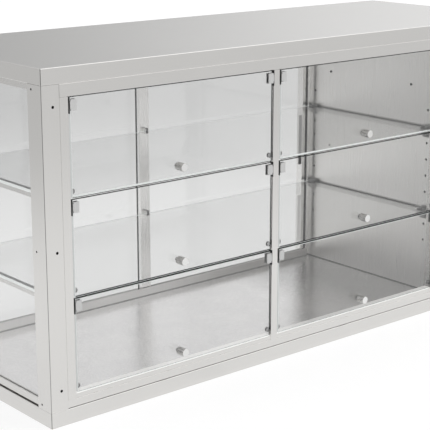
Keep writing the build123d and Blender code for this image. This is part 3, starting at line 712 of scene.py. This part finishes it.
# Studio round the case
def smooth_range(tree, value, span, low, high):
    """Eases from one value to another over a span."""
    node = tree.nodes.new("ShaderNodeMapRange")
    node.interpolation_type = "SMOOTHSTEP"
    node.inputs["From Min"].default_value, node.inputs["From Max"].default_value = span
    node.inputs["To Min"].default_value = low
    node.inputs["To Max"].default_value = high
    tree.links.new(value, node.inputs["Value"])
    return node.outputs["Result"]


def seen_rays(tree, *more):
    """1 for rays that carry the background to the eye: straight, through glass, or of more kinds."""
    path = tree.nodes.new("ShaderNodeLightPath")
    total = path.outputs["Is Camera Ray"]
    for kind in ("Is Transmission Ray", *more):
        total = maths(tree, "MAXIMUM", total, path.outputs[kind])
    return total


def room_level(tree, toward):
    """A white room, dimmer low down at the back left, with a soft box overhead to the right."""
    axes = split(tree, toward)
    across = maths(tree, "SUBTRACT", axes["X"], axes["Y"])
    low = smooth_range(tree, across, room_low_span, room_low_level, room_right_level)
    high = smooth_range(tree, across, room_high_span, room_high_left_level, room_high_level)
    rise = smooth_range(tree, axes["Z"], room_rise_span, 0.0, 1.0)
    gain = maths(tree, "MULTIPLY", rise, maths(tree, "SUBTRACT", high, low))
    overhead = along(tree, toward, Vector(overhead_direction).normalized())
    soft_box = smooth_range(tree, overhead, overhead_span, 0.0, overhead_level)
    return maths(tree, "ADD", maths(tree, "ADD", low, gain), soft_box)


def studio_world():
    """The room lights the case, and a white background shows behind and through it."""
    world = bpy.data.worlds.new("Studio")
    bpy.context.scene.world = world
    world.use_nodes = True
    tree = world.node_tree
    tree.nodes.clear()
    output = tree.nodes.new("ShaderNodeOutputWorld")
    place = tree.nodes.new("ShaderNodeTexCoord")
    room = tree.nodes.new("ShaderNodeBackground")
    tree.links.new(room_level(tree, place.outputs["Generated"]), room.inputs["Strength"])
    seen = tree.nodes.new("ShaderNodeBackground")
    seen.inputs["Strength"].default_value = background_level
    for background in (room, seen):
        background.inputs["Color"].default_value = (1.0, 1.0, 1.0, 1.0)
    path = tree.nodes.new("ShaderNodeLightPath")
    direct = maths(tree, "LESS_THAN", path.outputs["Glossy Depth"], 0.5)
    choose = tree.nodes.new("ShaderNodeMixShader")
    tree.links.new(maths(tree, "MULTIPLY", seen_rays(tree), direct), choose.inputs["Fac"])
    tree.links.new(room.outputs[0], choose.inputs[1])
    tree.links.new(seen.outputs[0], choose.inputs[2])
    tree.links.new(choose.outputs[0], output.inputs["Surface"])


def mirrored_floor_level(tree):
    """How bright the floor shows in metal: falling away from the case, and more to its left."""
    place = tree.nodes.new("ShaderNodeTexCoord")
    distance = tree.nodes.new("ShaderNodeVectorMath")
    distance.operation = "LENGTH"
    tree.links.new(place.outputs["Object"], distance.inputs[0])
    axes = split(tree, place.outputs["Object"])
    leftward = maths(tree, "SUBTRACT", axes["Y"], axes["X"])
    far_fall = mirrored_floor_fall + mirrored_floor_left_fall
    fall = smooth_range(tree, leftward, mirrored_floor_left_span, mirrored_floor_fall, far_fall)
    away = smooth_range(tree, distance.outputs["Value"], mirrored_floor_span, 0.0, 1.0)
    return maths(tree, "SUBTRACT", mirrored_floor_near, maths(tree, "MULTIPLY", away, fall))


def grey_floor(tree, tone):
    floor = tree.nodes.new("ShaderNodeBsdfDiffuse")
    floor.inputs["Color"].default_value = (tone, tone, tone, 1.0)
    return floor.outputs[0]


def floor_material():
    """White where it is seen, with the case's shadow on it, and plain grey to the light it scatters."""
    material = bpy.data.materials.new("studio floor")
    material.use_nodes = True
    tree = material.node_tree
    tree.nodes.clear()
    output = tree.nodes.new("ShaderNodeOutputMaterial")
    path = tree.nodes.new("ShaderNodeLightPath")
    level = tree.nodes.new("ShaderNodeMix")
    level.inputs["A"].default_value = floor_glow
    tree.links.new(path.outputs["Is Glossy Ray"], level.inputs["Factor"])
    tree.links.new(mirrored_floor_level(tree), level.inputs["B"])
    light = tree.nodes.new("ShaderNodeEmission")
    tree.links.new(level.outputs["Result"], light.inputs["Strength"])
    both = tree.nodes.new("ShaderNodeAddShader")
    tree.links.new(light.outputs[0], both.inputs[0])
    tree.links.new(grey_floor(tree, floor_shadow_tone), both.inputs[1])
    choose = tree.nodes.new("ShaderNodeMixShader")
    tree.links.new(seen_rays(tree, "Is Glossy Ray"), choose.inputs["Fac"])
    tree.links.new(grey_floor(tree, floor_tone), choose.inputs[1])
    tree.links.new(both.outputs[0], choose.inputs[2])
    tree.links.new(choose.outputs[0], output.inputs["Surface"])
    return material


def studio_floor():
    half = floor_size / 2
    corners = [(-half, -half, 0.0), (half, -half, 0.0), (half, half, 0.0), (-half, half, 0.0)]
    mesh = bpy.data.meshes.new("studio_floor")
    mesh.from_pydata(corners, [], [(0, 1, 2, 3)])
    mesh.materials.append(floor_material())
    floor = bpy.data.objects.new("studio_floor", mesh)
    bpy.context.scene.collection.objects.link(floor)


def studio_camera():
    data = bpy.data.cameras.new("Camera")
    data.lens = camera_lens
    data.sensor_width = camera_film
    data.clip_end = camera_reach
    camera = bpy.data.objects.new("Camera", data)
    camera.location = camera_place
    camera.rotation_euler = (math.radians(90.0 - camera_dip), 0.0, -math.radians(camera_azimuth))
    bpy.context.scene.collection.objects.link(camera)
    bpy.context.scene.camera = camera


bpy.context.scene.view_settings.view_transform = "Standard"
dress_casing()
dress_louvres()
dress_sill_lip()
dress_liner()
dress_deck()
dress_rails()
dress_tracks()
dress_rear_frame()
dress_wall_jamb()
dress_panes()
dress_door_edges()
dress_shelf_edges()
dress_stops()
dress_clips()
dress_pulls()
dress_black_fittings()
dress_knobs()
dress_machine()
dress_fan_and_foam()
studio_world()
studio_floor()
studio_camera()
